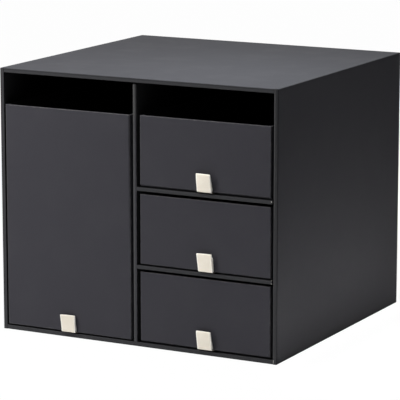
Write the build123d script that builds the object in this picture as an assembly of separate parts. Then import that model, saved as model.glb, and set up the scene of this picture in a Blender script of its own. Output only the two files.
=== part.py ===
from build123d import *
import os

# Desktop drawer organizer of paper-covered board. One tall drawer stands on the left, three equal
# drawers on the right, and a slot open at the front runs above both columns.
# All lengths are in millimetres. X runs to the right seen from the front, Y to the back, Z up.
# The origin is the centre of the case's underside.

# Boards, covering paper included
case_board = 4.8             # top, bottom and sides
inner_board = 4.2            # divider and shelves
back_board = 3.0             # back panel
drawer_board = 2.4           # drawer walls
floor_board = 2.4            # drawer floors
case_arris_radius = 0.8      # rounding of the case's papered edges
drawer_arris_radius = 0.9    # rounding of the drawers' papered edges

# Clear sizes of the bays
left_bay_width = 159.8
right_bay_width = 161.4
small_bay_height = 80.35     # clear height of the middle and bottom bays
slot_height = 34.25          # open slot between the top drawer's rim and the top panel

# Drawers in their bays
drawer_depth = 307.0         # outside, front face to rear face; takes a sheet 297 long
head_clearance = 3.3         # from a small drawer's rim to the shelf above it
glide_clearance = 0.25       # under the strap that the drawer glides on
front_rise = {               # each front ends this far above its drawer's underside
    "tall_drawer": 0.45,
    "top_drawer": 1.3,
    "middle_drawer": 0.6,
    "bottom_drawer": 1.0,
}
tall_rim_drop = 0.5          # the tall drawer's rim is this much lower than the top drawer's
bottom_rim_rise = 0.5        # the bottom drawer is this much higher than the other two small ones
tall_side_clearance = 2.5    # mean gap beside the tall drawer
tall_shift_share = 0.36      # share of that gap by which the tall drawer stands to the left
small_side_clearance = 3.65  # gap each side of the small drawers
small_setback = 1.0          # the small drawers stand back from the case's front
rear_clearance = 2.6         # behind the small drawers

# Joints of the case
housing_depth = 1.5          # groove that the divider and the shelves are glued into
housing_stop = 10.0          # the grooves stop this far behind the front
front_end_gap = 1.1          # gap at the front ends of the shelves and over the divider
back_let_in = 2.0            # width of the rebate round the back panel
back_recess = 0.4            # the back panel lies this far in from the rear edges

# Leather pull tabs
tab_width = 17.0
tab_thickness = 0.8          # one ply of leather
tab_height = 19.8            # middle of the fold above the drawer's underside
tab_glue_length = 22.0       # glued under the drawer's floor, behind the front face
tab_knee_reach = 3.4         # the front ply turns up this far in front of the drawer
tab_crest_reach = 6.4        # and leans out this far at the top
tab_fold_width = 1.0         # between the middles of the two plies at the fold
tab_knee_radius = 1.5
tab_heel_height = 1.8        # where the back ply meets the drawer's front
tab_offset = {               # each tab is glued on by hand, this far right of its drawer's middle
    "tall_drawer": 0.7,
    "top_drawer": 1.1,
    "middle_drawer": 2.6,
    "bottom_drawer": 1.7,
}

# Right column, from the bottom up
small_drawers = ["bottom_drawer", "middle_drawer", "top_drawer"]
shelves = ["lower_shelf", "upper_shelf"]

# Sizes that follow from the ones above
drawer_lift = tab_thickness + glide_clearance
small_height = small_bay_height - drawer_lift - head_clearance
bay_pitch = small_bay_height + inner_board
top_rim_height = len(shelves) * bay_pitch + small_height
tall_height = top_rim_height - tall_rim_drop
case_width = left_bay_width + right_bay_width + 2 * case_board + inner_board
case_depth = small_setback + drawer_depth + rear_clearance + back_board + back_recess
case_height = 2 * case_board + drawer_lift + top_rim_height + slot_height
small_width = right_bay_width - 2 * small_side_clearance
tall_width = left_bay_width - 2 * tall_side_clearance

# Planes that the pieces meet at
front_y = -case_depth / 2
rear_y = case_depth / 2
back_rear_y = rear_y - back_recess
back_face_y = back_rear_y - back_board
left_inner_x = -case_width / 2 + case_board
right_inner_x = case_width / 2 - case_board
divider_left_x = left_inner_x + left_bay_width
divider_right_x = divider_left_x + inner_board
bottom_inner_z = case_board
top_inner_z = case_height - case_board
housing_front_y = front_y + housing_stop


def block(x_span, y_span, z_span):
    """A square block between three pairs of coordinates."""
    size = [high - low for low, high in (x_span, y_span, z_span)]
    corner = Pos(x_span[0], y_span[0], z_span[0])
    return corner * Box(*size, align=(Align.MIN, Align.MIN, Align.MIN))


def side_panel_blank():
    """A full-height side, on the right: rounded outside and at the front, rebated for the back."""
    panel = block((right_inner_x, case_width / 2), (front_y, rear_y), (0, case_height))
    outer_edges = panel.faces().sort_by(Axis.X)[-1].edges()
    inner_front_edge = panel.edges().filter_by(Axis.Z).group_by(Axis.Y)[0].sort_by(Axis.X)[0]
    panel = fillet(outer_edges + [inner_front_edge], case_arris_radius)
    rebate = block(
        (right_inner_x, right_inner_x + back_let_in),
        (back_face_y, rear_y),
        (bottom_inner_z - back_let_in, top_inner_z + back_let_in),
    )
    return panel - rebate


def shelf_z_span(bays_below):
    """Lower and upper face of the shelf that closes this many bays."""
    low = bottom_inner_z + bays_below * bay_pitch - inner_board
    return (low, low + inner_board)


def shelf_groove(face_x, direction, bays_below):
    """The stopped groove for one shelf, cut from face_x towards direction."""
    x_span = sorted((face_x, face_x + direction * housing_depth))
    return block(x_span, (housing_front_y, back_face_y), shelf_z_span(bays_below))


def left_side_panel():
    return mirror(side_panel_blank(), about=Plane.YZ)


def right_side_panel():
    panel = side_panel_blank()
    for bays_below, _ in enumerate(shelves, start=1):
        panel -= shelf_groove(right_inner_x, 1, bays_below)
    return panel


def bottom_panel():
    """Lies between the sides, with a stopped groove for the divider and a rebate for the back."""
    panel = block((left_inner_x, right_inner_x), (front_y, rear_y), (0, case_board))
    panel = fillet(panel.faces().sort_by(Axis.Y)[0].edges().filter_by(Axis.X), case_arris_radius)
    groove = block(
        (divider_left_x, divider_right_x),
        (housing_front_y, back_face_y),
        (bottom_inner_z - housing_depth, bottom_inner_z),
    )
    rebate = block(
        (left_inner_x, right_inner_x),
        (back_face_y, rear_y),
        (bottom_inner_z - back_let_in, bottom_inner_z),
    )
    return panel - groove - rebate


def top_panel():
    """The bottom panel turned over and set at the top of the sides."""
    return mirror(bottom_panel(), about=Plane.XY.offset(case_height / 2))


def back_panel():
    """Glued into the rebate that runs round the rear of the case."""
    return block(
        (left_inner_x - back_let_in, right_inner_x + back_let_in),
        (back_face_y, back_rear_y),
        (bottom_inner_z - back_let_in, top_inner_z + back_let_in),
    )


def centre_divider():
    """Stands in the grooves of the bottom and top panels, and is cut clear of them at the front."""
    divider = block(
        (divider_left_x, divider_right_x),
        (front_y, back_face_y),
        (bottom_inner_z - housing_depth, top_inner_z + housing_depth),
    )
    divider = fillet(divider.edges().filter_by(Axis.Z).group_by(Axis.Y)[0], case_arris_radius)
    x_span = (divider_left_x, divider_right_x)
    shoulder_y = (front_y, housing_front_y)
    divider -= block(x_span, shoulder_y, (bottom_inner_z - housing_depth, bottom_inner_z))
    divider -= block(x_span, shoulder_y, (top_inner_z - front_end_gap, top_inner_z + housing_depth))
    for bays_below, _ in enumerate(shelves, start=1):
        divider -= shelf_groove(divider_right_x, -1, bays_below)
    return divider


def shelf(bays_below):
    """Let into the divider and the right side, with shoulders at both front corners."""
    z_span = shelf_z_span(bays_below)
    x_span = (divider_right_x - housing_depth, right_inner_x + housing_depth)
    board = block(x_span, (front_y, back_face_y), z_span)
    board = fillet(board.edges().filter_by(Axis.X).group_by(Axis.Y)[0], case_arris_radius)
    shoulder_y = (front_y, housing_front_y)
    board -= block((x_span[0], divider_right_x), shoulder_y, z_span)
    board -= block((right_inner_x - front_end_gap, x_span[1]), shoulder_y, z_span)
    return board


def cross_wall(x_span, face_y, direction, z_span):
    """A drawer's front or back. It covers the ends of the sides, and its show face is at face_y."""
    y_span = sorted((face_y, face_y + direction * drawer_board))
    wall = block(x_span, y_span, z_span)
    show_face = wall.faces().sort_by(Axis.Y if direction > 0 else -Axis.Y)[0]
    inner_rim = wall.edges().filter_by(Axis.X).group_by(Axis.Z)[-1].sort_by(Axis.Y)
    inner_rim = inner_rim[-1] if direction > 0 else inner_rim[0]
    radius = min(drawer_arris_radius, 0.4 * drawer_board)
    return fillet(show_face.edges() + [inner_rim], radius)


def side_wall(x_span, y_span, z_span):
    """A drawer's side, between its front and back, with a rounded rim."""
    wall = block(x_span, y_span, z_span)
    radius = min(drawer_arris_radius, 0.4 * drawer_board)
    return fillet(wall.edges().filter_by(Axis.Y).group_by(Axis.Z)[-1], radius)


def pull_tab(middle_x, face_y, underside_z):
    """A strap glued under the floor. It comes out below the front, turns up, leans out to a tight
    fold and comes back down to the foot of the front."""
    half = tab_thickness / 2
    strap_z = underside_z - half
    crest_z = underside_z + tab_height
    route = [
        (face_y + tab_glue_length, strap_z),
        (face_y - tab_knee_reach, strap_z),
        (face_y - tab_crest_reach, crest_z),
        (face_y - tab_crest_reach + tab_fold_width, crest_z),
        (face_y - half, underside_z + tab_heel_height),
    ]
    fold_radius = 0.45 * tab_fold_width
    radii = [tab_knee_radius, fold_radius, fold_radius]
    middle_line = FilletPolyline(*route, radius=radii)
    section = Plane.YZ.offset(middle_x) * trace(middle_line, line_width=tab_thickness)
    return extrude(section, amount=tab_width / 2, both=True)


def drawer(name, middle_x, width, height, underside_z, face_y):
    """The six pieces of one drawer, by node name."""
    x_left = middle_x - width / 2
    x_right = middle_x + width / 2
    rear_face_y = face_y + drawer_depth
    z_span = (underside_z, underside_z + height)
    front_z_span = (underside_z + front_rise[name], underside_z + height)
    inner_x = (x_left + drawer_board, x_right - drawer_board)
    inner_y = (face_y + drawer_board, rear_face_y - drawer_board)
    return {
        name + "_front": cross_wall((x_left, x_right), face_y, 1, front_z_span),
        name + "_back": cross_wall((x_left, x_right), rear_face_y, -1, z_span),
        name + "_left_side": side_wall((x_left, inner_x[0]), inner_y, z_span),
        name + "_right_side": side_wall((inner_x[1], x_right), inner_y, z_span),
        name + "_floor": block(inner_x, inner_y, (underside_z, underside_z + floor_board)),
        name + "_pull_tab": pull_tab(middle_x + tab_offset[name], face_y, underside_z),
    }


def tall_drawer():
    middle_x = left_inner_x + left_bay_width / 2 - tall_shift_share * tall_side_clearance
    underside_z = bottom_inner_z + drawer_lift
    return drawer("tall_drawer", middle_x, tall_width, tall_height, underside_z, front_y)


def small_drawer(name, bays_below):
    middle_x = divider_right_x + right_bay_width / 2
    underside_z = bottom_inner_z + bays_below * bay_pitch + drawer_lift
    face_y = front_y + small_setback
    height = small_height + (bottom_rim_rise if name == "bottom_drawer" else 0)
    return drawer(name, middle_x, small_width, height, underside_z, face_y)


pieces = {
    "left_side_panel": left_side_panel(),
    "right_side_panel": right_side_panel(),
    "bottom_panel": bottom_panel(),
    "top_panel": top_panel(),
    "back_panel": back_panel(),
    "centre_divider": centre_divider(),
}
for bays_below, name in enumerate(shelves, start=1):
    pieces[name] = shelf(bays_below)
pieces.update(tall_drawer())
for bays_below, name in enumerate(small_drawers):
    pieces.update(small_drawer(name, bays_below))

os.makedirs("parts", exist_ok=True)
for node, solid in pieces.items():
    export_step(solid, os.path.join("parts", node + ".step"))
print("case outside", round(case_width, 2), "x", round(case_depth, 2), "x", round(case_height, 2))
print("pieces", len(pieces))
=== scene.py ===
import math

import bmesh
import bpy
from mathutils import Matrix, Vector, geometry, noise


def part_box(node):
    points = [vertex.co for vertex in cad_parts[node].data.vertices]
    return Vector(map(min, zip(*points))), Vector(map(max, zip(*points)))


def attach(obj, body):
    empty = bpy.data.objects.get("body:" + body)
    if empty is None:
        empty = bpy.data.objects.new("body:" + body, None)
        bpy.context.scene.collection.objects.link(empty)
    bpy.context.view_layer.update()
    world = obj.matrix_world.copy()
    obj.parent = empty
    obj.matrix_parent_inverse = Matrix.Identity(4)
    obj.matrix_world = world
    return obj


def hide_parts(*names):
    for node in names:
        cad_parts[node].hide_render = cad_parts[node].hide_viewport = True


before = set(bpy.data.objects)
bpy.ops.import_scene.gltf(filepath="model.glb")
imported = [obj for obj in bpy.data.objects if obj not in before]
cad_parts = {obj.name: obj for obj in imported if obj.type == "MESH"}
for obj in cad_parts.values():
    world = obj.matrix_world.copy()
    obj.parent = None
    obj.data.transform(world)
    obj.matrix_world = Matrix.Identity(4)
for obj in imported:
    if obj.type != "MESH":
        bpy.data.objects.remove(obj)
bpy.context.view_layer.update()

mm = 0.001
far = 10.0  # past the end of every board
clear = 1 * mm  # how far a patch stands out of the face that it covers


# shader helpers

def feedNode(tree, made, feeds):
    for key, value in feeds.items():
        if isinstance(value, bpy.types.NodeSocket):
            tree.links.new(value, made.inputs[key])
        else:
            made.inputs[key].default_value = value
    return made


def addNode(tree, kind, feeds=None, **settings):
    made = tree.nodes.new(kind)
    for key, value in settings.items():
        setattr(made, key, value)
    return feedNode(tree, made, feeds or {})


def addMath(tree, operation, *values):
    made = addNode(tree, "ShaderNodeMath", dict(enumerate(values)), operation=operation)
    return made.outputs[0]


def addVector(tree, operation, first, second):
    return addNode(tree, "ShaderNodeVectorMath", {0: first, 1: second}, operation=operation).outputs[0]


def splitVector(tree, vector):
    return addNode(tree, "ShaderNodeSeparateXYZ", {0: vector}).outputs


def addWeighted(tree, *pairs):
    # the sum of values, each times its weight
    total = None
    for value, weight in pairs:
        part = addMath(tree, "MULTIPLY", value, weight)
        total = part if total is None else addMath(tree, "ADD", total, part)
    return total


def addNoise(tree, where, scale, detail=2.0, roughness=0.5):
    feeds = {"Vector": where, "Scale": scale, "Detail": detail, "Roughness": roughness}
    return addNode(tree, "ShaderNodeTexNoise", feeds).outputs[0]


def addRagged(tree, where, scale, reach):
    # noise from minus to plus half of reach
    swing = addMath(tree, "SUBTRACT", addNoise(tree, where, scale, 3.0), 0.5)
    return addMath(tree, "MULTIPLY", swing, reach)


def addRemap(tree, value, fromLow, fromHigh, toLow=0.0, toHigh=1.0):
    feeds = {"Value": value, "From Min": fromLow, "From Max": fromHigh, "To Min": toLow, "To Max": toHigh}
    return addNode(tree, "ShaderNodeMapRange", feeds, interpolation_type="SMOOTHSTEP").outputs[0]


def addMix(tree, factor, first, second):
    feeds = {0: factor, 6: first, 7: second}
    return addNode(tree, "ShaderNodeMix", feeds, data_type="RGBA", blend_type="MIX").outputs[2]


def addCover(tree, mask, share, under, over):
    # over laid on under where the mask is, as strongly as share
    return addMix(tree, addMath(tree, "MULTIPLY", mask, share), under, over)


def opaque(colour):
    return (*colour, 1.0)


def newGroup(name, inputs, outputs):
    tree = bpy.data.node_groups.new(name, "ShaderNodeTree")
    for title, kind, value in inputs:
        socket = tree.interface.new_socket(name=title, in_out="INPUT", socket_type=kind)
        if value is not None:
            socket.default_value = value
    for title, kind in outputs:
        tree.interface.new_socket(name=title, in_out="OUTPUT", socket_type=kind)
    return tree, tree.nodes.new("NodeGroupInput").outputs, tree.nodes.new("NodeGroupOutput")


def addGroup(tree, group, feeds):
    made = tree.nodes.new("ShaderNodeGroup")
    made.node_tree = group
    return feedNode(tree, made, feeds).outputs


# shared effects

grainLook = {  # scales as multiples of the scale given, weights in the relief, and where each tone turns
    "clumpScale": 0.28, "cellScale": 0.45, "feltWeight": 0.6, "clumpWeight": 0.3, "cellWeight": 0.15,
    "fleck": (0.36, 0.64), "smudge": (0.42, 0.7), "pebbleEdge": 0.35, "poreScale": 2.6,
    "pebbleWeight": 0.6, "poreWeight": 0.4, "toneScale": 0.11, "tone": (0.3, 0.7), "rubReach": 2.2,
    "tearShare": 0.25}


def gapsToBox(tree, given):
    # how far inside the box from Low to High it is along each axis, and the place counted from Low
    aboveLow = addVector(tree, "SUBTRACT", given["Place"], given["Low"])
    belowHigh = addVector(tree, "SUBTRACT", given["High"], given["Place"])
    return splitVector(tree, addVector(tree, "MINIMUM", aboveLow, belowHigh)), aboveLow


def edgeRubGroup():
    # 1 along the edges of the box from Low to High, broken up, 0 away from them
    tree, given, result = newGroup("edgeRub", [
        ("Place", "NodeSocketVector", None), ("Low", "NodeSocketVector", None),
        ("High", "NodeSocketVector", None), ("Width", "NodeSocketFloat", 0.6 * mm),
        ("Breakup", "NodeSocketFloat", 180.0)], [("Mask", "NodeSocketFloat")])
    gaps, _ = gapsToBox(tree, given)
    smaller = addMath(tree, "MINIMUM", gaps[0], gaps[1])
    larger = addMath(tree, "MAXIMUM", gaps[0], gaps[1])
    edgeGap = addMath(tree, "MAXIMUM", smaller, addMath(tree, "MINIMUM", larger, gaps[2]))
    reach = addMath(tree, "MULTIPLY", given["Width"], grainLook["rubReach"])
    edgeGap = addMath(tree, "ADD", edgeGap, addRagged(tree, given["Place"], given["Breakup"], reach))
    tree.links.new(addRemap(tree, edgeGap, given["Width"], 0.0), result.inputs["Mask"])
    return tree


def paperGrainGroup():
    # felted fibres of an uncoated covering paper
    tree, given, result = newGroup("paperGrain", [
        ("Place", "NodeSocketVector", None), ("Fineness", "NodeSocketFloat", 2600.0)],
        [("Height", "NodeSocketFloat"), ("Fleck", "NodeSocketFloat")])
    felt = addNoise(tree, given["Place"], given["Fineness"], 3.0, 0.6)
    clumpScale = addMath(tree, "MULTIPLY", given["Fineness"], grainLook["clumpScale"])
    clumps = addNoise(tree, given["Place"], clumpScale)
    cellScale = addMath(tree, "MULTIPLY", given["Fineness"], grainLook["cellScale"])
    cells = addNode(tree, "ShaderNodeTexVoronoi", {"Vector": given["Place"], "Scale": cellScale},
                    feature="F1").outputs["Distance"]
    height = addWeighted(tree, (felt, grainLook["feltWeight"]), (clumps, grainLook["clumpWeight"]),
                         (cells, grainLook["cellWeight"]))
    tree.links.new(height, result.inputs["Height"])
    tree.links.new(addRemap(tree, felt, *grainLook["fleck"]), result.inputs["Fleck"])
    return tree


def boardWaveGroup():
    # the slow unevenness of glued board, and the smudges that handling leaves
    tree, given, result = newGroup("boardWave", [
        ("Place", "NodeSocketVector", None), ("Waves", "NodeSocketFloat", 11.0),
        ("Smudges", "NodeSocketFloat", 26.0)],
        [("Height", "NodeSocketFloat"), ("Smudge", "NodeSocketFloat")])
    tree.links.new(addNoise(tree, given["Place"], given["Waves"], 1.0, 0.4), result.inputs["Height"])
    smudge = addNoise(tree, given["Place"], given["Smudges"], 4.0, 0.62)
    tree.links.new(addRemap(tree, smudge, *grainLook["smudge"]), result.inputs["Smudge"])
    return tree


def hideGrainGroup():
    # pebbles and pores of a smooth hide
    tree, given, result = newGroup("hideGrain", [
        ("Place", "NodeSocketVector", None), ("Pebble", "NodeSocketFloat", 1900.0)],
        [("Height", "NodeSocketFloat"), ("Tone", "NodeSocketFloat")])
    pebbles = addNode(tree, "ShaderNodeTexVoronoi", {"Vector": given["Place"], "Scale": given["Pebble"]},
                      feature="DISTANCE_TO_EDGE").outputs["Distance"]
    pebbles = addRemap(tree, pebbles, 0.0, grainLook["pebbleEdge"])
    poreScale = addMath(tree, "MULTIPLY", given["Pebble"], grainLook["poreScale"])
    pores = addNoise(tree, given["Place"], poreScale)
    height = addWeighted(tree, (pebbles, grainLook["pebbleWeight"]), (pores, grainLook["poreWeight"]))
    tree.links.new(height, result.inputs["Height"])
    toneScale = addMath(tree, "MULTIPLY", given["Pebble"], grainLook["toneScale"])
    tone = addNoise(tree, given["Place"], toneScale, 3.0)
    tree.links.new(addRemap(tree, tone, *grainLook["tone"]), result.inputs["Tone"])
    return tree


def patchGroup():
    # 1 inside the box from Low to High, with a torn border as wide as Tear, setting in over Fade upwards
    tree, given, result = newGroup("patch", [
        ("Place", "NodeSocketVector", None), ("Low", "NodeSocketVector", None),
        ("High", "NodeSocketVector", None), ("Tear", "NodeSocketFloat", 0.2 * mm),
        ("Breakup", "NodeSocketFloat", 900.0), ("Fade", "NodeSocketFloat", 0.01 * mm)],
        [("Mask", "NodeSocketFloat"), ("Border", "NodeSocketFloat")])
    gaps, aboveLow = gapsToBox(tree, given)
    inward = addMath(tree, "MINIMUM", addMath(tree, "MINIMUM", gaps[0], gaps[1]), gaps[2])
    inward = addMath(tree, "ADD", inward, addRagged(tree, given["Place"], given["Breakup"], given["Tear"]))
    half = addMath(tree, "MULTIPLY", given["Tear"], grainLook["tearShare"])
    mask = addRemap(tree, inward, addMath(tree, "MULTIPLY", half, -1.0), half)
    height = splitVector(tree, aboveLow)[2]
    mask = addMath(tree, "MULTIPLY", mask, addRemap(tree, height, 0.0, given["Fade"]))
    tree.links.new(mask, result.inputs["Mask"])
    edge = addMath(tree, "ABSOLUTE", inward)
    tree.links.new(addRemap(tree, edge, given["Tear"], 0.0), result.inputs["Border"])
    return tree


edgeRub = edgeRubGroup()
patch = patchGroup()
paperGrain = paperGrainGroup()
boardWave = boardWaveGroup()
hideGrain = hideGrainGroup()
print("shader groups made")


# materials

paperLooks = {
    "case": {"colour": (0.0447, 0.0443, 0.0495), "deep": (0.0401, 0.0398, 0.0446),
             "wearAndHighlight": (0.1, 0.0973, 0.0973),
             "rubWidth": 0.8 * mm, "rub": 0.5, "roughness": 0.36, "gloss": 0.0021,
             "fineness": 2600.0, "grainDepth": 0.012 * mm, "waveDepth": 0.05 * mm, "smudge": 0.03},
    "drawer": {"colour": (0.0438, 0.0427, 0.0487), "deep": (0.0391, 0.0379, 0.0443),
               "wearAndHighlight": (0.1196, 0.117, 0.117),
               "rubWidth": 0.95 * mm, "rub": 0.5, "roughness": 0.36, "gloss": 0.0021,
               "fineness": 2600.0, "grainDepth": 0.012 * mm, "waveDepth": 0.05 * mm, "smudge": 0.03},
    "lining": {"colour": (0.0339, 0.0335, 0.0362), "deep": (0.0295, 0.029, 0.0312),
               "wearAndHighlight": (0.0536, 0.0536, 0.0536),
               "rubWidth": 0.3 * mm, "rub": 0.0, "roughness": 0.6, "gloss": 0.02,
               "fineness": 1900.0, "grainDepth": 0.02 * mm, "waveDepth": 0.04 * mm, "smudge": 0.05},
    # near-black paper in the bays: painted shade
    "bay": {"colour": (0.0107, 0.0107, 0.0114), "deep": (0.0089, 0.0089, 0.0095),
            "wearAndHighlight": (0.0179, 0.0179, 0.0179),
            "rubWidth": 0.3 * mm, "rub": 0.0, "roughness": 0.6, "gloss": 0.01,
            "fineness": 1900.0, "grainDepth": 0.02 * mm, "waveDepth": 0.04 * mm, "smudge": 0.05},
}
patchKinds = {  # places on a board that show something else than its paper
    # raw board at the shelves' ends, made paler as a painted highlight
    "rawSpeckHighlight": {"light": (0.5536, 0.5357, 0.5), "dark": (0.3036, 0.2946, 0.2768), "cover": 0.95,
                 "tear": 0.5 * mm, "breakup": 1300.0, "ridge": 0.3},
    "rawLine": {"light": (0.3214, 0.317, 0.3036), "dark": (0.1786, 0.1759, 0.1696), "cover": 0.9,
                "tear": 0.45 * mm, "breakup": 1100.0, "ridge": 0.4},
    # painted shade, nearly black, on ends that stand in the dark
    "endShade": {"light": (0.0054, 0.0054, 0.0058), "dark": (0.0036, 0.0036, 0.004), "cover": 0.97,
               "tear": 0.15 * mm, "breakup": 700.0, "ridge": 0.2},
    "fold": {"light": (0.0214, 0.0214, 0.0234), "dark": (0.0161, 0.0161, 0.0179), "cover": 0.85,
             "tear": 0.25 * mm, "breakup": 260.0, "ridge": 0.2},
    "edging": {"light": (0.0406, 0.0406, 0.0427), "dark": (0.0366, 0.0366, 0.0386), "cover": 0.92,
               "tear": 0.12 * mm, "breakup": 500.0, "ridge": 0.0},
    # darker bands: below the top panel's upper front arris, and painted shade at the foot of the fronts
    "darkBand": {"light": (0.0304, 0.0304, 0.0321), "dark": (0.025, 0.025, 0.0268), "cover": 0.75,
               "tear": 0.35 * mm, "breakup": 240.0, "ridge": 0.0},
    "seam": {"light": (0.0107, 0.0107, 0.0116), "dark": (0.0071, 0.0071, 0.008), "cover": 0.9,
             "tear": 0.15 * mm, "breakup": 300.0, "ridge": -0.4},
    # painted shade inside the bays, just behind the front arrises
    "throat": {"light": (0.0045, 0.0045, 0.0047), "dark": (0.0036, 0.0036, 0.0038), "cover": 0.95,
               "tear": 0.2 * mm, "breakup": 200.0, "ridge": 0.0},
    "shade": {"light": (0.0259, 0.0259, 0.0271), "dark": (0.0232, 0.0232, 0.0244), "cover": 0.85,
              "tear": 0.15 * mm, "breakup": 90.0, "ridge": 0.0, "fade": 230 * mm},
    "litArris": {"light": (0.0679, 0.0676, 0.0687), "dark": (0.0562, 0.056, 0.0571), "cover": 0.85,
                 "tear": 0.35 * mm, "breakup": 160.0, "ridge": 0.0},
    # painted highlight on the right side's inner arris towards the top
    "upperArrisHighlight": {"light": (0.0679, 0.0676, 0.0687), "dark": (0.0562, 0.056, 0.0571), "cover": 0.7,
                   "tear": 0.6 * mm, "breakup": 160.0, "ridge": 0.0, "fade": 200 * mm},
    # painted shade along arrises towards the top
    "turned": {"light": (0.0134, 0.0132, 0.0145), "dark": (0.0112, 0.011, 0.0121), "cover": 0.7,
               "tear": 1.6 * mm, "breakup": 30.0, "ridge": 0.0, "fade": 200 * mm},
    "lightened": {"light": (0.0634, 0.0629, 0.0629), "dark": (0.0546, 0.0542, 0.0542), "cover": 0.95,
             "tear": 0.2 * mm, "breakup": 60.0, "ridge": 0.0, "fade": 6 * mm},
    "pasted": {"light": (0.0339, 0.0335, 0.0362), "dark": (0.0295, 0.029, 0.0312), "cover": 0.95,
               "tear": 0.3 * mm, "breakup": 90.0, "ridge": 3.0},
}


paperFinish = {"smudgePolish": 0.03, "waveBump": 1.0, "grainBump": 0.8, "fade": 0.01 * mm}


def newMaterial(name):
    # the material with its tree, its shader and the place on the piece
    material = bpy.data.materials.new(name)
    material.use_nodes = True
    tree = material.node_tree
    where = addNode(tree, "ShaderNodeTexCoord").outputs["Object"]
    return material, tree, tree.nodes["Principled BSDF"], where


def paperMaterial(name, look, low, high, patches=()):
    values = paperLooks[look]
    material, tree, shader, where = newMaterial(name)
    rub = addGroup(tree, edgeRub, {"Place": where, "Low": low, "High": high, "Width": values["rubWidth"]})
    grain = addGroup(tree, paperGrain, {"Place": where, "Fineness": values["fineness"]})
    wave = addGroup(tree, boardWave, {"Place": where})
    # edge colour: rubbed wear with a painted highlight along the arrises
    wearAndHighlight = opaque(values["wearAndHighlight"])
    body = addMix(tree, grain["Fleck"], opaque(values["deep"]), opaque(values["colour"]))
    faded = addCover(tree, wave["Smudge"], values["smudge"], body, wearAndHighlight)
    shown = addCover(tree, rub["Mask"], values["rub"], faded, wearAndHighlight)
    relief = grain["Height"]
    for kind, patchLow, patchHigh in patches:
        spot = patchKinds[kind]
        cover = addGroup(tree, patch, {
            "Place": where, "Low": patchLow, "High": patchHigh, "Tear": spot["tear"],
            "Breakup": spot["breakup"], "Fade": spot.get("fade", paperFinish["fade"])})
        tone = addMix(tree, grain["Fleck"], opaque(spot["dark"]), opaque(spot["light"]))
        shown = addCover(tree, cover["Mask"], spot["cover"], shown, tone)
        ridge = addMath(tree, "MULTIPLY", cover["Border"], spot["ridge"])
        relief = addMath(tree, "ADD", relief, ridge)
    tree.links.new(shown, shader.inputs["Base Color"])
    polish = addMath(tree, "MULTIPLY", wave["Smudge"], paperFinish["smudgePolish"])
    tree.links.new(addMath(tree, "SUBTRACT", values["roughness"], polish), shader.inputs["Roughness"])
    shader.inputs["Specular IOR Level"].default_value = values["gloss"]
    slow = addNode(tree, "ShaderNodeBump", {
        "Strength": paperFinish["waveBump"], "Distance": values["waveDepth"], "Height": wave["Height"]})
    fine = addNode(tree, "ShaderNodeBump", {
        "Strength": paperFinish["grainBump"], "Distance": values["grainDepth"], "Height": relief,
        "Normal": slow.outputs[0]})
    tree.links.new(fine.outputs[0], shader.inputs["Normal"])
    return material


# the boards of the frame

gluedEnds = {  # ends that are glued against another board, lower case for the lower end of an axis
    "top_panel": "xX", "bottom_panel": "xX", "back_panel": "xXzZ", "centre_divider": "zZY",
    "upper_shelf": "xXY", "lower_shelf": "xXY", "left_side": "yY", "right_side": "yY", "floor": "xXyY"}
beyond = 20 * mm
drawers = ["tall_drawer", "top_drawer", "middle_drawer", "bottom_drawer"]


def rubBox(node):
    # the box of the board, drawn out past its glued ends, where nothing rubs
    low, high = (Vector(corner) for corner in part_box(node))
    ends = next((letters for ending, letters in gluedEnds.items() if node.endswith(ending)), "")
    for axis, letter in enumerate("xyz"):
        if letter in ends:
            low[axis] -= beyond
        if letter.upper() in ends:
            high[axis] += beyond
    return low, high


trims = {  # widths and depths of what shows on the boards, and the heights where it begins or ends
    "edging": 0.45 * mm, "foldWidth": 0.72 * mm, "footHeight": 1.0 * mm, "darkBand": (1.9 * mm, 0.35 * mm),
    "shadeFrom": 60 * mm, "upperArrisHighlight": 1.5 * mm, "arrisDepth": 0.7 * mm, "throat": 0.32 * mm,
    "throatDepth": 5 * mm, "seam": 0.4 * mm, "seamStart": 0.3 * mm, "shelfGap": 1.1 * mm,
    "cutDepth": 12 * mm, "speckWidth": 0.85 * mm, "speckDepth": 1.2 * mm, "lighterBelowRim": 4 * mm,
    "cutBelowTop": 1.9 * mm, "rawInset": 0.2 * mm, "rawLine": 1.0 * mm, "rawDepth": 0.7 * mm,
    "rawHeights": (0.9 * mm, 4.7 * mm), "sheetInset": 7.0 * mm, "floorInset": 4.0 * mm}
litEdges = {  # arrises that look towards the lamp, counted from the board's left face
    "right_side_panel": (-far, 0.7 * mm), "centre_divider": (0.45 * mm, 2.0 * mm),
    "tall_drawer_front": (-far, 0.85 * mm)}
shadedEdges = {  # arrises painted with shade towards the top, and the height where that begins
    "tall_drawer_front": {"width": 2.2 * mm, "depth": 1.3 * mm, "from": 50 * mm},
    "centre_divider": {"start": 2.5 * mm, "from": 100 * mm}}
shelfEnds = {  # how much of the end is painted dark as shade, and the raw board specks beside it with a painted highlight, above the shelf's underside
    "upper_shelf": {"cut": 0.85 * mm, "specks": [(1.9 * mm, 3.5 * mm)]},
    "lower_shelf": {"cut": 0.5 * mm, "specks": [(-0.4 * mm, 1.1 * mm), (3.9 * mm, 4.6 * mm)]}}


def throatSpan(node, low, high):
    # the part of a board's face that takes the painted shade of a bay, as lower and upper (x, z)
    spans = {"left_side_panel": ((high.x - clear, -far), (far, far)),
             "right_side_panel": ((-far, -far), (low.x + clear, far)),
             "top_panel": ((-far, -far), (far, low.z + clear)),
             "bottom_panel": ((-far, high.z - clear), (far, far))}
    if node in ("centre_divider", "upper_shelf", "lower_shelf"):
        return (-far, -far), (far, far)
    return spans.get(node)


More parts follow.
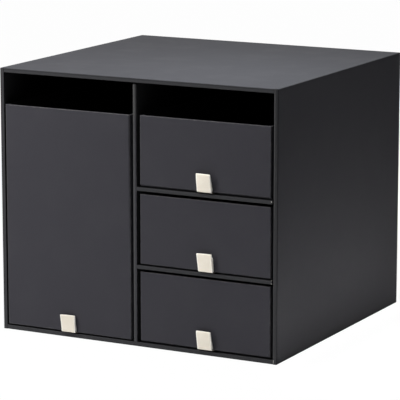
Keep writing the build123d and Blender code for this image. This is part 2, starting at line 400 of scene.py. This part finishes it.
def boardPatches(node):
    # kind, low and high corner of each place where a board shows something else than plain paper
    low, high = (Vector(corner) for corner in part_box(node))
    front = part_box("centre_divider")[0][1]
    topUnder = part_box("top_panel")[0][2]
    edged = front + trims["edging"]
    found = []

    def mark(kind, start, end):
        found.append((kind, start, end))
    covered = not node.startswith(tuple(drawers)) and node not in ("back_panel", "centre_divider")
    if covered:  # the strip of paper over the front edges
        mark("edging", low - Vector((far, far, far)), (far, edged, far))
    if node == "top_panel":  # darker just below its upper front arris
        start, end = trims["darkBand"]
        mark("darkBand", (-far, -far, high.z - start), (far, edged, high.z - end))
    if node in ("bottom_panel", "left_side_panel", "right_side_panel"):  # the foot of the front is in shade
        mark("darkBand", (-far, -far, -far), (far, front + 2 * clear, trims["footHeight"]))
    if node == "right_side_panel":  # painted shade towards the top of its front, with a painted highlight on its inner arris
        mark("shade", (-far, -far, trims["shadeFrom"]), (far, edged, far))
        mark("upperArrisHighlight", (-far, -far, trims["shadeFrom"]), (low.x + trims["upperArrisHighlight"], edged, far))
    if node in litEdges:
        begin, end = litEdges[node]
        mark("litArris", (low.x + begin, -far, -far), (low.x + end, low.y + trims["arrisDepth"], far))
    # painted shade along its right arris towards the top
    if node == "tall_drawer_front":
        edge = shadedEdges[node]
        mark("turned", (high.x - edge["width"], -far, edge["from"]), (far, low.y + edge["depth"], far))
    span = throatSpan(node, low, high)
    if span:  # painted shade of the bays begins just behind the front arris
        (xLow, zLow), (xHigh, zHigh) = span
        mark("throat", (xLow, front + trims["throat"], zLow), (xHigh, front + trims["throatDepth"], zHigh))
    if node in ("left_side_panel", "right_side_panel"):  # the joint with the top panel
        inner = high.x if node == "left_side_panel" else low.x
        mark("seam", (inner - trims["seam"], -far, topUnder + trims["seamStart"]),
             (inner + trims["seam"], edged, far))
    if node in shelfEnds:
        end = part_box("right_side_panel")[0][0] - trims["shelfGap"]
        cut = end - shelfEnds[node]["cut"]
        mark("endShade", (cut, front - clear, low.z - clear),
             (end + clear, front + trims["cutDepth"], high.z + clear))
        # raw board specks with a painted highlight
        for bottom, top in shelfEnds[node]["specks"]:
            mark("rawSpeckHighlight", (cut - trims["speckWidth"], front - clear, low.z + bottom),
                 (cut, front + trims["speckDepth"], low.z + top))
    if node == "centre_divider":  # lighter above the drawers, with painted shade on its right part towards the top and on its top end
        edge = shadedEdges[node]
        mark("lightened", (-far, -far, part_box("tall_drawer_front")[1][2] - trims["lighterBelowRim"]),
             (far, front + clear, far))
        mark("turned", (low.x + edge["start"], -far, edge["from"]), (far, front + clear, far))
        mark("endShade", (low.x - clear, front - clear, topUnder - trims["cutBelowTop"]),
             (high.x + clear, front + trims["cutDepth"], high.z + clear))
    if node == "right_side_panel":  # the core shows where the bottom panel meets it
        begin = low.x + trims["rawInset"]
        bottom, top = trims["rawHeights"]
        mark("rawLine", (begin, front - clear, bottom),
             (begin + trims["rawLine"], front + trims["rawDepth"], top))
    if node.endswith("_side_panel"):  # a darker line along the outer front corner
        outer = low.x if node.startswith("left") else high.x
        width = trims["foldWidth"]
        mark("fold", (outer - width, front - clear, -clear), (outer + width, front + width, high.z + clear))
    if node == "bottom_panel" or node.endswith("drawer_floor"):  # a sheet over the turned-in paper beneath
        inset = trims["sheetInset" if node == "bottom_panel" else "floorInset"]
        mark("pasted", (low.x + inset, low.y + inset, low.z - clear),
             (high.x - inset, high.y - inset, low.z + clear / 2))
    return found


def dressBoards():
    for node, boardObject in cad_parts.items():
        if node.endswith("pull_tab"):
            continue
        look = "drawer" if node.startswith(tuple(drawers)) else "case"
        low, high = rubBox(node)
        material = paperMaterial(node + "Paper", look, low, high, boardPatches(node))
        boardObject.data.materials.clear()
        boardObject.data.materials.append(material)


dressBoards()
print("boards dressed")


def toObject(mesh, name, *materials):
    data = bpy.data.meshes.new(name)
    mesh.to_mesh(data)
    mesh.free()
    for material in materials:
        data.materials.append(material)
    piece = bpy.data.objects.new(name, data)
    bpy.context.scene.collection.objects.link(piece)
    return piece


# linings: thin paper pasted inside each drawer and each bay of the case; the near-black bay linings are
# painted shade

liningSheet = {"thickness": 0.15 * mm, "corner": 0.8 * mm, "flatStart": 0.5 * mm, "levels": (0.6, 0.25),
               "shortOfRim": 3.5 * mm, "behindFront": 1.5 * mm, "waver": 0.3 * mm, "waverScale": 24.0,
               "waverShift": 0.37, "leastRound": 0.05 * mm, "sideSteps": 30, "cornerSteps": 4}


def roundedRing(width, depth, inset, corner):
    # points round a rectangle whose corners are rounded, counter-clockwise from the near left
    radius = max(corner - inset, liningSheet["leastRound"])
    ring = []
    steps, sideSteps = liningSheet["cornerSteps"], liningSheet["sideSteps"]
    near, right, rear = inset + radius, width - inset - radius, depth - inset - radius
    middles = [(near, near, 180), (right, near, 270), (right, rear, 0), (near, rear, 90)]
    for index, (u, v, start) in enumerate(middles):
        for step in range(steps + 1):
            turn = math.radians(start + 90 * step / steps)
            ring.append((u + radius * math.cos(turn), v + radius * math.sin(turn)))
        nextU, nextV, nextStart = middles[(index + 1) % 4]
        turn = math.radians(nextStart)
        end = (nextU + radius * math.cos(turn), nextV + radius * math.sin(turn))
        begin = ring[-1]
        for step in range(1, sideSteps):
            share = step / sideSteps
            ring.append((begin[0] + (end[0] - begin[0]) * share, begin[1] + (end[1] - begin[1]) * share))
    return ring


def makeLining(name, width, depth, height, toWorld, body, material, seed):
    # an open tray of paper: its outside lies on the boards, its cut rim wavers
    corner, flatStart = liningSheet["corner"], liningSheet["flatStart"]
    profile = [(0.0, height)] + [(0.0, height * share) for share in liningSheet["levels"]]
    profile.append((0.0, corner + flatStart))
    for step in range(liningSheet["cornerSteps"] + 1):
        turn = math.radians(90 * step / liningSheet["cornerSteps"])
        profile.append((corner * (1 - math.cos(turn)), corner * (1 - math.sin(turn))))
    profile.append((corner + flatStart, 0.0))
    mesh = bmesh.new()

    def shell(offset):
        rings = []
        for level, (inset, lift) in enumerate(profile):
            ring = []
            for u, v in roundedRing(width, depth, inset + offset, corner):
                rise = max(lift, offset)
                if level == 0:
                    spot = Vector((u, v, seed * liningSheet["waverShift"]))
                    waver = noise.noise(spot * liningSheet["waverScale"])
                    rise += liningSheet["waver"] * (waver - 1.0)
                ring.append(mesh.verts.new(toWorld(u, v, rise)))
            rings.append(ring)
        return rings
    outside, inside = shell(0.0), shell(liningSheet["thickness"])
    count = len(outside[0])

    def skin(first, second):
        for i in range(count):
            j = (i + 1) % count
            mesh.faces.new((first[i], first[j], second[j], second[i])).smooth = True
    for rings in (outside, inside):
        for first, second in zip(rings, rings[1:]):
            skin(first, second)
    skin(inside[0], outside[0])
    mesh.faces.new(outside[-1])
    mesh.faces.new(list(reversed(inside[-1])))
    bmesh.ops.recalc_face_normals(mesh, faces=mesh.faces)
    piece = toObject(mesh, name, material)
    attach(piece, body)


def lineDrawers(material):
    for seed, drawer in enumerate(drawers):
        ends = ("front", "back", "left_side", "right_side", "floor")
        boards = {end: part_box(drawer + "_" + end) for end in ends}
        low = Vector((boards["left_side"][1][0], boards["front"][1][1], boards["floor"][1][2]))
        high = Vector((boards["right_side"][0][0], boards["back"][0][1], boards["left_side"][1][2]))
        size = high - low

        def toWorld(u, v, w, low=low):
            return (low.x + u, low.y + v, low.z + w)
        makeLining(drawer + "Lining", size.x, size.y, size.z - liningSheet["shortOfRim"], toWorld, drawer,
                   material, seed + 1)


def lineBays(material):
    sideLeft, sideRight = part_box("left_side_panel")[1][0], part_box("right_side_panel")[0][0]
    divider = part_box("centre_divider")
    floorTop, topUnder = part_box("bottom_panel")[1][2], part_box("top_panel")[0][2]
    lower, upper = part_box("lower_shelf"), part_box("upper_shelf")
    front, back = divider[0][1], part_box("back_panel")[0][1]
    bays = {"leftBay": (sideLeft, divider[0][0], floorTop, topUnder),
            "bottomBay": (divider[1][0], sideRight, floorTop, lower[0][2]),
            "middleBay": (divider[1][0], sideRight, lower[1][2], upper[0][2]),
            "topBay": (divider[1][0], sideRight, upper[1][2], topUnder)}
    for seed, (name, (xLow, xHigh, zLow, zHigh)) in enumerate(bays.items()):

        def toWorld(u, v, w, xLow=xLow, zLow=zLow):
            return (xLow + u, back - w, zLow + v)
        depth = back - front - liningSheet["behindFront"]
        makeLining(name + "Lining", xHigh - xLow, zHigh - zLow, depth, toWorld, "case",
                   material, seed + 11)


def plainPaper(name, look):
    # paper without rubbed edges or patches
    return paperMaterial(name, look, (-far, -far, -far), (far, far, far))


lineDrawers(plainPaper("drawerLiningPaper", "lining"))
lineBays(plainPaper("bayShadePaper", "bay"))


backSheet = {"thickness": 0.18 * mm, "inset": 3.5 * mm, "waver": 0.35 * mm, "waverScale": 30.0,
             "waverShift": 3.1, "steps": 40}


def makeBackSheet(material):
    # a plain sheet pasted on the back panel, cut a little short all round
    left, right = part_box("left_side_panel")[1][0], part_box("right_side_panel")[0][0]
    bottom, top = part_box("bottom_panel")[1][2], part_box("top_panel")[0][2]
    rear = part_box("back_panel")[1][1]
    inset = backSheet["inset"]
    corners = [(left + inset, bottom + inset), (right - inset, bottom + inset),
               (right - inset, top - inset), (left + inset, top - inset)]
    outline = []
    for (x0, z0), (x1, z1) in zip(corners, corners[1:] + corners[:1]):
        for step in range(backSheet["steps"]):
            share = step / backSheet["steps"]
            x, z = x0 + (x1 - x0) * share, z0 + (z1 - z0) * share
            spot = Vector((x, z, backSheet["waverShift"]))
            waver = backSheet["waver"] * noise.noise(spot * backSheet["waverScale"])
            outline.append((x + waver * (z0 != z1), z + waver * (x0 != x1)))
    mesh = bmesh.new()
    under = [mesh.verts.new((x, rear, z)) for x, z in outline]
    over = [mesh.verts.new((x, rear + backSheet["thickness"], z)) for x, z in outline]
    mesh.faces.new(under)
    mesh.faces.new(list(reversed(over)))
    for i in range(len(outline)):
        j = (i + 1) % len(outline)
        mesh.faces.new((under[i], under[j], over[j], over[i]))
    bmesh.ops.recalc_face_normals(mesh, faces=mesh.faces)
    sheet = toObject(mesh, "backSheet", material)
    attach(sheet, "case")


makeBackSheet(plainPaper("backSheetPaper", "lining"))
print("linings pasted")


# pull tabs: a leather strap out from under the floor, up, folded and back down

strap = {"thickness": 0.8 * mm, "edgeRound": 0.2 * mm, "acrossSteps": 10, "alongSteps": 14,
         "cup": 0.16 * mm, "glued": 22.0 * mm, "flatEnd": 2.2 * mm, "lipReach": 0.3 * mm, "lipHandle": 0.55,
         "kneeRise": 1.7 * mm, "shoulderDrop": 1.2 * mm, "foldHalf": 0.5 * mm, "hugShare": 0.25,
         "heelGap": 0.3 * mm, "heelRest": 0.06 * mm}
strapMoods = {  # how far each one stands out below and at the fold, how it is folded, twisted and glued on
    "tall_drawer": {"kneeReach": 2.7 * mm, "lip": 0.6 * mm, "crestReach": 4.3 * mm, "belly": 0.1 * mm,
                    "crestRise": -0.5 * mm, "hug": 0.5, "twist": 1.3 * mm, "slant": -0.2 * mm},
    "top_drawer": {"kneeReach": 3.0 * mm, "lip": 1.1 * mm, "crestReach": 5.6 * mm, "belly": 0.2 * mm,
                   "crestRise": 0.55 * mm, "hug": 0.35, "twist": -0.8 * mm, "slant": -0.2 * mm},
    "middle_drawer": {"kneeReach": 3.0 * mm, "lip": 0.6 * mm, "crestReach": 5.6 * mm, "belly": 0.3 * mm,
                      "crestRise": 0.2 * mm, "hug": 0.75, "twist": 0.7 * mm, "slant": -0.4 * mm},
    "bottom_drawer": {"kneeReach": 3.0 * mm, "lip": 0.95 * mm, "crestReach": 5.7 * mm, "belly": 0.2 * mm,
                      "crestRise": 1.05 * mm, "hug": 0.3, "twist": -0.1 * mm, "slant": -0.3 * mm},
}


def bezierRun(knots, steps):
    # knots are (point, handle in, handle out); the points come out once each
    run = []
    for start, end in zip(knots, knots[1:]):
        part = geometry.interpolate_bezier(start[0], start[2], end[1], end[0], steps)
        run.extend(part if not run else part[1:])
    return run


def strapLine(drawer, mood):
    # middle line of the strap, from its glued end under the floor to the foot of its back ply
    tabLow, tabHigh = (Vector(corner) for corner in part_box(drawer + "_pull_tab"))
    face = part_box(drawer + "_front")[0][1]
    half = strap["thickness"] / 2
    glued, fold, lipReach = strap["glued"], strap["foldHalf"], strap["lipReach"]
    knee, crest, belly = mood["kneeReach"], mood["crestReach"], mood["belly"]
    floorLine = tabLow.z + half
    lipZ = floorLine + mood["lip"]
    crestZ = tabHigh.z - half + mood["crestRise"]
    foldBack = crest - 2 * fold
    shoulder = crestZ - strap["shoulderDrop"]
    heelZ = lipZ + strap["thickness"] + strap["heelGap"]
    heel = half + strap["heelRest"]
    hugZ = shoulder - (shoulder - heelZ) * (1 - mood["hug"])
    hugReach = heel + (foldBack - heel) * strap["hugShare"]

    def knot(reach, z, before, after):
        # a point with its two handles, each given as a step outward and a step up from it
        spot = Vector((0.0, face - reach, z))
        return spot, *(spot + Vector((0.0, -out, up)) for out, up in (before, after))
    return bezierRun([
        knot(-glued, floorLine, (0, 0), (glued / 2, 0)),
        knot(-strap["flatEnd"], floorLine, (-3.8 * mm, 0), (0.9 * mm, 0)),
        knot(lipReach, lipZ, (-0.8 * mm, 0), (knee * strap["lipHandle"] - lipReach, 0)),
        knot(knee, lipZ + strap["kneeRise"], (-0.15 * mm, -1.45 * mm), (0.15 * mm + belly, 4.3 * mm)),
        knot(crest, shoulder, (belly - 0.7 * mm, -7 * mm), (0.1 * mm, 0.7 * mm)),
        knot(crest - fold, crestZ, (0.35 * mm, 0), (-0.35 * mm, 0)),
        knot(foldBack, shoulder, (0.05 * mm, 0.7 * mm), (-0.7 * mm, -2.5 * mm)),
        knot(hugReach, hugZ, (0.35 * mm, 2 * mm), (-0.35 * mm, -2 * mm)),
        knot(heel, heelZ, (0, 3 * mm), (0, 0)),
    ], strap["alongSteps"])


def strapSection():
    # (half widths across, metres through, metres beyond the width) round the strap, with rounded cut edges
    through = strap["thickness"] / 2
    radius = strap["edgeRound"]
    steps = strap["acrossSteps"]
    outline = []
    for side in (1, -1):
        outline += [(side * (2 * i / steps - 1), -side * through, 0.0) for i in range(steps + 1)]
        for angle in (-60, -30, 0, 30, 60):
            turn = math.radians(angle * side)
            level = (through - radius) * ((turn > 0) - (turn < 0))
            outline.append((side, level + radius * math.sin(turn), side * radius * math.cos(turn)))
    return outline


def makeStrap(drawer, hide, cut):
    mood = strapMoods[drawer]
    line = strapLine(drawer, mood)
    low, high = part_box(drawer + "_pull_tab")
    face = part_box(drawer + "_front")[0][1]
    middleX, half = (low[0] + high[0]) / 2, (high[0] - low[0]) / 2
    inner = half - strap["edgeRound"]
    section = strapSection()
    rise = high[2] - low[2]
    mesh = bmesh.new()
    rings = []
    for index, point in enumerate(line):
        before = line[max(index - 1, 0)]
        after = line[min(index + 1, len(line) - 1)]
        along = (after - before).normalized()
        outward = Vector((0.0, -along.z, along.y))
        lift = (point.z - low[2]) / rise
        ring = []
        held = min(1.0, max(0.0, (face - point.y) / mood["crestReach"]))
        for across, through, extra in section:
            cupping = strap["cup"] * across ** 2 * min(1.0, lift * 2)
            spot = point + outward * (through - cupping)
            x = middleX + across * inner + extra + mood["slant"] * lift
            turned = mood["twist"] * across * max(lift, 0.0) ** 2 * held
            ring.append(mesh.verts.new((x, spot.y + turned, spot.z)))
        rings.append(ring)
    count = len(section)
    for first, second in zip(rings, rings[1:]):
        for i in range(count):
            j = (i + 1) % count
            quad = mesh.faces.new((first[i], first[j], second[j], second[i]))
            flat = i % (count // 2) < strap["acrossSteps"]
            quad.material_index = 0 if flat else 1
            quad.smooth = True
    for ring, flipped in ((rings[0], False), (rings[-1], True)):
        cap = mesh.faces.new(ring if flipped else list(reversed(ring)))
        cap.material_index = 1
    bmesh.ops.recalc_face_normals(mesh, faces=mesh.faces)
    piece = toObject(mesh, drawer + "Strap", hide, cut)
    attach(piece, drawer)
    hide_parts(drawer + "_pull_tab")


# the shade factors make each drawer's strap lighter or darker as painted light and shade
hideLook = {"light": (0.82, 0.76, 0.65), "deep": (0.79, 0.725, 0.61), "cut": (0.71, 0.64, 0.535),
            "pale": (0.93, 0.905, 0.845), "paleWidth": 1.5 * mm, "paleShare": 0.9, "paleAbove": 0.6 * mm,
            "paleBreakup": 260.0, "slotShade": (0.16, 0.14, 0.115), "slotReach": 2.3 * mm,
            "slotAbove": 0.3 * mm, "slotTear": 0.4 * mm, "slotBreakup": 300.0, "pores": (0.55, 0.2),
            "poreShare": 0.35, "brightest": 0.97, "roughness": 0.52, "roughnessSwing": 0.1, "gloss": 0.35,
            "pebble": 1900.0, "grainDepth": 0.03 * mm, "bump": 0.9, "cutRoughness": 0.8,
            "cutDepth": 0.05 * mm,
            "shade": {"tall_drawer": 0.885, "top_drawer": 0.975, "middle_drawer": 1.04,
                      "bottom_drawer": 0.99}}


def shaded(colour, drawer):
    # a colour scaled by its drawer's painted shade; no part of it goes above the brightest that leather can
    # be
    return tuple(min(hideLook["brightest"], part * hideLook["shade"][drawer]) for part in colour)


def hideMaterial(name, drawer, lightColour, deepColour, roughness, depth):
    # leather with a painted highlight along its cut edges and its fold, and painted shade where it lies in
    # the slot under the front
    material, tree, shader, where = newMaterial(name)
    grain = addGroup(tree, hideGrain, {"Place": where, "Pebble": hideLook["pebble"]})
    colour = addMix(tree, grain["Tone"], opaque(deepColour), opaque(lightColour))
    pores = addRemap(tree, grain["Height"], *hideLook["pores"], 0.0, hideLook["poreShare"])
    creased = addMix(tree, pores, colour, opaque(deepColour))
    low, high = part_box(drawer + "_pull_tab")
    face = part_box(drawer + "_front")[0][1]
    mood = strapMoods[drawer]
    crestTop = high[2] + mood["crestRise"] + hideLook["paleAbove"]
    # painted highlight: paler along the strap's sides and its fold
    lightened = addGroup(tree, patch, {
        "Place": where, "Low": (low[0], -far, low[2]), "High": (high[0], far, crestTop),
        "Tear": hideLook["paleWidth"], "Breakup": hideLook["paleBreakup"]})
    pale = opaque(shaded(hideLook["pale"], drawer))
    paled = addCover(tree, lightened["Border"], hideLook["paleShare"], creased, pale)
    # painted shade on the strap where it lies in the slot
    slotTop = low[2] + mood["lip"] + strap["thickness"] + hideLook["slotAbove"]
    slotShadeMask = addGroup(tree, patch, {
        "Place": where, "Low": (-far, face - hideLook["slotReach"], -far), "High": (far, far, slotTop),
        "Tear": hideLook["slotTear"], "Breakup": hideLook["slotBreakup"]})
    shown = addMix(tree, slotShadeMask["Mask"], paled, opaque(hideLook["slotShade"]))
    tree.links.new(shown, shader.inputs["Base Color"])
    dull = addRemap(tree, grain["Height"], 0.0, 1.0, roughness + hideLook["roughnessSwing"], roughness)
    tree.links.new(dull, shader.inputs["Roughness"])
    shader.inputs["Specular IOR Level"].default_value = hideLook["gloss"]
    feeds = {"Strength": hideLook["bump"], "Distance": depth, "Height": grain["Height"]}
    tree.links.new(addNode(tree, "ShaderNodeBump", feeds).outputs[0], shader.inputs["Normal"])
    return material


def dressStraps():
    # each strap gets its own hide materials, made lighter or darker per drawer as painted light and shade
    for drawer in drawers:
        light, deep, cut = (shaded(hideLook[part], drawer) for part in ("light", "deep", "cut"))
        hide = hideMaterial(drawer + "Hide", drawer, light, deep, hideLook["roughness"],
                            hideLook["grainDepth"])
        cutHide = hideMaterial(drawer + "HideEdge", drawer, deep, cut, hideLook["cutRoughness"],
                               hideLook["cutDepth"])
        makeStrap(drawer, hide, cutHide)


dressStraps()
print("straps made:", len(drawers))


# floor, light and camera

stageSet = {"floorHalf": 9.0, "floorRound": 96, "floorColour": (0.86, 0.86, 0.87), "cameraWhite": 0.985}


def seenDirectly(tree):
    # 1 where a surface is looked at, straight or in a gloss, 0 where it only gives light
    rays = addNode(tree, "ShaderNodeLightPath").outputs
    seen = addMath(tree, "MAXIMUM", rays["Is Camera Ray"], rays["Is Glossy Ray"])
    return addMath(tree, "MAXIMUM", seen, rays["Is Transmission Ray"])


def makeStage():
    mesh = bmesh.new()
    bmesh.ops.create_circle(mesh, cap_ends=True, segments=stageSet["floorRound"],
                            radius=stageSet["floorHalf"])
    material = bpy.data.materials.new("paleFloor")
    material.use_nodes = True
    tree = material.node_tree
    tree.nodes.clear()
    lit = addNode(tree, "ShaderNodeBsdfDiffuse", {"Color": opaque(stageSet["floorColour"])})
    white = addNode(tree, "ShaderNodeEmission", {"Color": (1, 1, 1, 1), "Strength": 1.0})
    share = addMath(tree, "MULTIPLY", seenDirectly(tree), stageSet["cameraWhite"])
    shown = addNode(tree, "ShaderNodeMixShader", {0: share, 1: lit.outputs[0], 2: white.outputs[0]})
    seeThrough = addNode(tree, "ShaderNodeBsdfTransparent")
    under = addNode(tree, "ShaderNodeNewGeometry").outputs["Backfacing"]
    final = addNode(tree, "ShaderNodeMixShader", {0: under, 1: shown.outputs[0], 2: seeThrough.outputs[0]})
    output = tree.nodes.new("ShaderNodeOutputMaterial")
    tree.links.new(final.outputs[0], output.inputs["Surface"])
    floor = toObject(mesh, "floor", material)


floorTint = (1.0, 0.98, 0.93)
lamps = {  # place, what it points at, sides, power, spread of the beam in degrees and colour
    "keySoftbox": {"at": (-0.6, -0.5, 1.0), "to": (0, 0, 0.25), "sides": (0.6, 0.6),
                   "power": 15.904, "spread": 180, "colour": (1.0, 1.0, 1.0)},
    "frontSoftbox": {"at": (-0.62, -0.8, 0.42), "to": (0, -0.1, 0.15), "sides": (0.4, 0.4),
                     "power": 3.08, "spread": 180, "colour": (1.0, 0.99, 0.98)},
    "topSoftbox": {"at": (0.1, -0.12, 0.6), "to": (0.1, -0.12, 0.29), "sides": (0.2, 0.2),
                   "power": 1.904, "spread": 180, "colour": (0.92, 0.97, 1.0)},
    "rearSoftbox": {"at": (-0.3, 1.4, 0.35), "to": (0, 0.15, 0.12), "sides": (0.8, 0.8),
                    "power": 7.84, "spread": 180, "colour": (1.0, 1.0, 1.0)},
    "floorStripWide": {"at": (0.27, -0.03, 0.5), "to": (0.27, -0.03, 0.0), "sides": (0.08, 0.4),
                       "power": 0.5936, "spread": 8, "colour": floorTint},
    "floorStripNarrow": {"at": (0.23, -0.02, 0.4), "to": (0.23, -0.02, 0.0), "sides": (0.04, 0.42),
                         "power": 0.018, "spread": 6, "colour": floorTint},
    "floorStripClose": {"at": (0.2, -0.02, 0.3), "to": (0.2, -0.02, 0.0), "sides": (0.03, 0.42),
                        "power": 0.008, "spread": 5, "colour": floorTint},
    "floorStripEdge": {"at": (0.181, -0.01, 0.2), "to": (0.181, -0.01, 0.0), "sides": (0.016, 0.38),
                       "power": 0.026, "spread": 4, "colour": floorTint},
}
glossyLamps = ("keySoftbox", "frontSoftbox")  # the only ones that show in a gloss
worldLight = {"colour": (0.97, 0.98, 1.0), "strength": 0.056}


def makeLights():
    for name, values in lamps.items():
        light = bpy.data.lights.new(name, "AREA")
        light.shape = "RECTANGLE"
        light.size, light.size_y = values["sides"]
        light.energy = values["power"]
        light.color = values["colour"]
        light.spread = math.radians(values["spread"])
        lamp = bpy.data.objects.new(name, light)
        lamp.location = values["at"]
        aim = Vector(values["to"]) - Vector(values["at"])
        lamp.rotation_euler = aim.to_track_quat("-Z", "Y").to_euler()
        lamp.visible_camera = False
        lamp.visible_glossy = name in glossyLamps
        bpy.context.scene.collection.objects.link(lamp)
    world = bpy.data.worlds.new("studio")
    bpy.context.scene.world = world
    world.use_nodes = True
    tree = world.node_tree
    tree.nodes.clear()
    soft = addNode(tree, "ShaderNodeBackground", {
        "Color": opaque(worldLight["colour"]), "Strength": worldLight["strength"]})
    white = addNode(tree, "ShaderNodeBackground", {"Color": (1, 1, 1, 1), "Strength": 1.0})
    seen = seenDirectly(tree)
    shown = addNode(tree, "ShaderNodeMixShader", {0: seen, 1: soft.outputs[0], 2: white.outputs[0]})
    output = tree.nodes.new("ShaderNodeOutputWorld")
    tree.links.new(shown.outputs[0], output.inputs["Surface"])


shot = {"at": (1.23715, -2.35064, 0.65823), "azimuth": 27.86857, "elevation": 11.20118, "lens": 218.016,
        "sensor": 36.0, "sight": 100.0}


def makeCamera():
    data = bpy.data.cameras.new("camera")
    data.lens = shot["lens"]
    data.sensor_width = shot["sensor"]
    data.clip_end = shot["sight"]
    camera = bpy.data.objects.new("camera", data)
    camera.location = shot["at"]
    camera.rotation_euler = (math.radians(90 - shot["elevation"]), 0.0, math.radians(shot["azimuth"]))
    bpy.context.scene.collection.objects.link(camera)
    bpy.context.scene.camera = camera


makeStage()
makeLights()
makeCamera()
bpy.context.scene.view_settings.view_transform = "Standard"
print("stage, lights and camera set")
